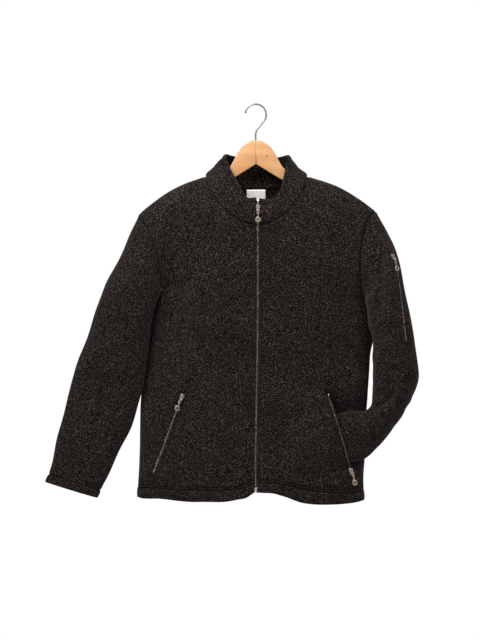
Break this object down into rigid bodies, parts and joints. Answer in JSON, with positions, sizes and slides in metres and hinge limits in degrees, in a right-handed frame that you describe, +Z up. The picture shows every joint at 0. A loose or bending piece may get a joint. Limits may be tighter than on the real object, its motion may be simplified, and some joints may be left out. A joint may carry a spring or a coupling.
{
  "type": "stand-collar jacket on hanger",
  "caption": "Boiled-wool jacket with a stand collar, zipped front, side pockets and sleeve pocket, hung on a wooden hanger, one cuff tucked in a pocket.",
  "frame": {"origin": "the inside top of the hanger's hook, where a rail or peg holds it", "axes": "+Z up, the jacket's front towards -Y, the wearer's right towards -X"},
  "size_m": [0.8182, 0.12, 0.8815],
  "materials": {
    "wool": "dark charcoal boiled wool, heathered with lighter grey-brown fibres, matt and felted",
    "zip_tape": "very dark woven zip tape, matt",
    "label_cloth": "plain white woven label, left blank",
    "pine": "pale varnished pine with a light orange tone, satin",
    "steel": "bright drawn wire, satin",
    "copper": "antique copper, brushed and a little dulled"
  },
  "bodies": {
    "jacket": {"front_right": "wool", "front_left": "wool", "back": "wool", "collar": "wool", "sleeve_right": "wool", "sleeve_left": "wool", "front_zip_tape_right": "zip_tape", "front_zip_tape_left": "zip_tape", "pocket_zip_tape_right": "zip_tape", "pocket_zip_tape_left_inner": "zip_tape", "pocket_zip_tape_left_outer": "zip_tape", "sleeve_zip_tape": "zip_tape", "label": "label_cloth", "hanger_arm_right": "pine", "hanger_arm_left": "pine", "hook": "steel", "slider_front": "copper", "slider_pocket_right": "copper", "slider_pocket_left": "copper", "slider_sleeve": "copper"},
    "pull_front_tab": {"pull_front": "copper"},
    "pull_pocket_right_tab": {"pull_pocket_right": "copper"},
    "pull_pocket_left_tab": {"pull_pocket_left": "copper"},
    "pull_sleeve_tab": {"pull_sleeve": "copper"}
  },
  "joints": [
    {"name": "pull_front_swing", "type": "hinge", "parent": "jacket", "child": "pull_front_tab", "pos_m": [0.00353, -0.06053, -0.23301], "axis": [-1, -0.0025, 0.0016], "range_deg": [0, 150]},
    {"name": "pull_pocket_right_swing", "type": "hinge", "parent": "jacket", "child": "pull_pocket_right_tab", "pos_m": [-0.16583, -0.04409, -0.64697], "axis": [-0.9246, 0.1461, 0.3518], "range_deg": [0, 150]},
    {"name": "pull_pocket_left_swing", "type": "hinge", "parent": "jacket", "child": "pull_pocket_left_tab", "pos_m": [0.21028, -0.04309, -0.8089], "axis": [-0.9025, -0.3281, -0.2789], "range_deg": [0, 150]},
    {"name": "pull_sleeve_swing", "type": "hinge", "parent": "jacket", "child": "pull_sleeve_tab", "pos_m": [0.30285, -0.05609, -0.33975], "axis": [-0.7443, -0.6458, -0.17], "range_deg": [0, 150]}
  ]
}
